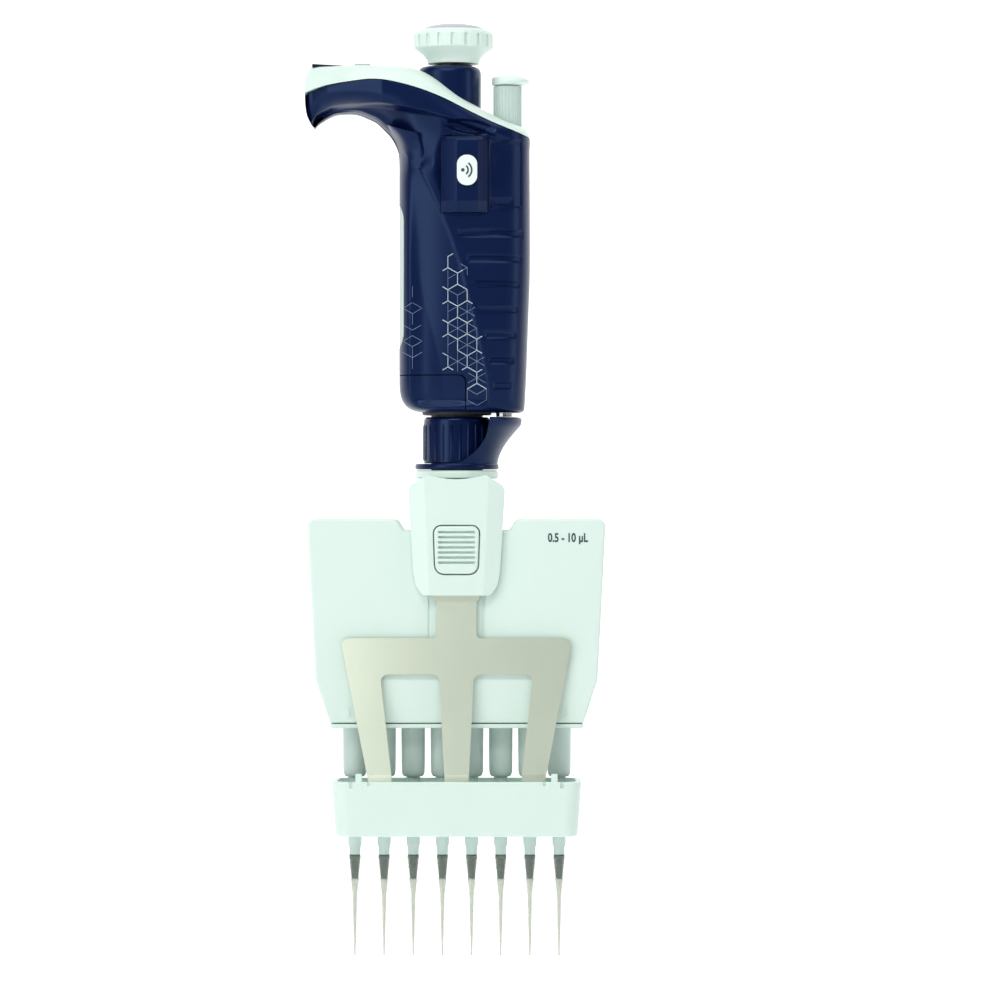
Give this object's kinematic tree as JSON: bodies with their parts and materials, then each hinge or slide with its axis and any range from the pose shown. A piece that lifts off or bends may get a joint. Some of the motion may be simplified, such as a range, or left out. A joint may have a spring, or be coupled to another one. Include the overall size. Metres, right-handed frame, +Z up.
{
  "type": "multichannel pipette",
  "caption": "Motorised multichannel pipette with finger hook, turning manifold, steel ejector fork and a row of fitted tips.",
  "frame": {"origin": "on the axis the manifold turns about, level with the ends of the tips", "axes": "+Z up along the instrument, +X to the right seen from the front, the finger hook pointing to -X, +Y to the back"},
  "size_m": [0.0924, 0.0373, 0.2876],
  "materials": {
    "navy_shell": "satin moulded",
    "white_shell": "fine satin moulded",
    "grey_part": "satin moulded",
    "black_part": "satin moulded",
    "dark_window": "polished",
    "soft_grey": "matte",
    "grip_pad": "matte",
    "dome_grey": "satin",
    "fork_steel": "brushed",
    "turned_steel": "turned",
    "spring_steel": "drawn wire",
    "motor_can": "satin",
    "light_alloy": "satin",
    "cell_wrap": "shrink wrap",
    "board_green": "solder mask",
    "clear_tip": "translucent moulded"
  },
  "bodies": {
    "handle": {"handle_front": "navy_shell", "handle_rear": "navy_shell", "tower": "navy_shell", "top_trim": "white_shell", "display_window": "dark_window", "side_insert": "grip_pad", "wireless_module": "navy_shell", "module_label": "white_shell", "battery": "cell_wrap", "circuit_board": "board_green", "motor": "motor_can", "nose_bush": "black_part", "knob_spring": "spring_steel", "ejector_spring": "spring_steel"},
    "knob_slider": {"knob_stem": "black_part"},
    "knob": {"knob_ring": "white_shell", "knob_dome": "dome_grey"},
    "ejector_upper": {"ejector_cap": "white_shell", "ejector_stem": "grey_part", "ejector_rod": "turned_steel", "ejector_arm": "navy_shell"},
    "nut": {"coupling_nut": "navy_shell"},
    "manifold": {"neck_tube": "grey_part", "manifold_front": "white_shell", "manifold_rear": "white_shell", "manifold_base": "white_shell", "nozzle_1": "grey_part", "nozzle_2": "grey_part", "nozzle_3": "grey_part", "nozzle_4": "grey_part", "nozzle_5": "grey_part", "nozzle_6": "grey_part", "nozzle_7": "grey_part", "nozzle_8": "grey_part"},
    "ejector_lower": {"collar": "white_shell", "ejector_hood": "white_shell", "steel_fork": "fork_steel", "ejector_comb": "white_shell"},
    "latch": {"latch_button": "white_shell"},
    "drive": {"drive_screw": "turned_steel"},
    "pistons": {"piston_plate": "light_alloy", "piston_1": "turned_steel", "piston_2": "turned_steel", "piston_3": "turned_steel", "piston_4": "turned_steel", "piston_5": "turned_steel", "piston_6": "turned_steel", "piston_7": "turned_steel", "piston_8": "turned_steel"},
    "tips": {"tip_1": "clear_tip", "tip_2": "clear_tip", "tip_3": "clear_tip", "tip_4": "clear_tip", "tip_5": "clear_tip", "tip_6": "clear_tip", "tip_7": "clear_tip", "tip_8": "clear_tip"},
    "door": {"battery_door": "navy_shell"},
    "left_key": {"key_left": "soft_grey"},
    "right_key": {"key_right": "soft_grey"}
  },
  "joints": [
    {"name": "knob_press", "type": "slide", "parent": "handle", "child": "knob_slider", "axis": [0, 0, -1], "range_m": [0, 0.0008], "stiffness_N_per_m": 1500, "springref_m": -0.0006, "deforming": ["knob_spring"]},
    {"name": "knob_turn", "type": "hinge", "parent": "knob_slider", "child": "knob", "pos_m": [-0.0011, 0, 0.2752], "axis": [0, 0, 1], "continuous": true},
    {"name": "ejector_press", "type": "slide", "parent": "handle", "child": "ejector_upper", "axis": [0, 0, -1], "range_m": [0, 0.0064], "stiffness_N_per_m": 450, "springref_m": -0.004, "deforming": ["ejector_spring"]},
    {"name": "nut_turn", "type": "hinge", "parent": "handle", "child": "nut", "pos_m": [0, 0, 0.1591], "axis": [0, 0, 1], "continuous": true},
    {"name": "manifold_swivel", "type": "hinge", "parent": "handle", "child": "manifold", "pos_m": [0, 0, 0.1382], "axis": [0, 0, 1], "continuous": true},
    {"name": "ejector_lower_slide", "type": "slide", "parent": "manifold", "child": "ejector_lower", "axis": [0, 0, -1], "range_m": [0, 0.0064]},
    {"name": "latch_press", "type": "slide", "parent": "ejector_lower", "child": "latch", "axis": [0, 1, 0], "range_m": [0, 0.0008], "stiffness_N_per_m": 800, "springref_m": -0.0006},
    {"name": "drive_travel", "type": "slide", "parent": "handle", "child": "drive", "axis": [0, 0, -1], "range_m": [0, 0.012]},
    {"name": "piston_travel", "type": "slide", "parent": "manifold", "child": "pistons", "axis": [0, 0, -1], "range_m": [0, 0.012]},
    {"name": "tips_pull_off", "type": "slide", "parent": "manifold", "child": "tips", "axis": [0, 0, -1], "range_m": [0, 0.015]},
    {"name": "battery_door_slide", "type": "slide", "parent": "handle", "child": "door", "axis": [-1, 0, 0], "range_m": [0, 0.012]},
    {"name": "key_left_press", "type": "slide", "parent": "handle", "child": "left_key", "axis": [0, 0, -1], "range_m": [0, 0.0005], "stiffness_N_per_m": 300, "springref_m": -0.0005},
    {"name": "key_right_press", "type": "slide", "parent": "handle", "child": "right_key", "axis": [0, 0, -1], "range_m": [0, 0.0005], "stiffness_N_per_m": 300, "springref_m": -0.0005}
  ],
  "couplings": [
    {"joint": "ejector_lower_slide", "follows": "ejector_press", "ratio": 1},
    {"joint": "piston_travel", "follows": "drive_travel", "ratio": 1}
  ]
}
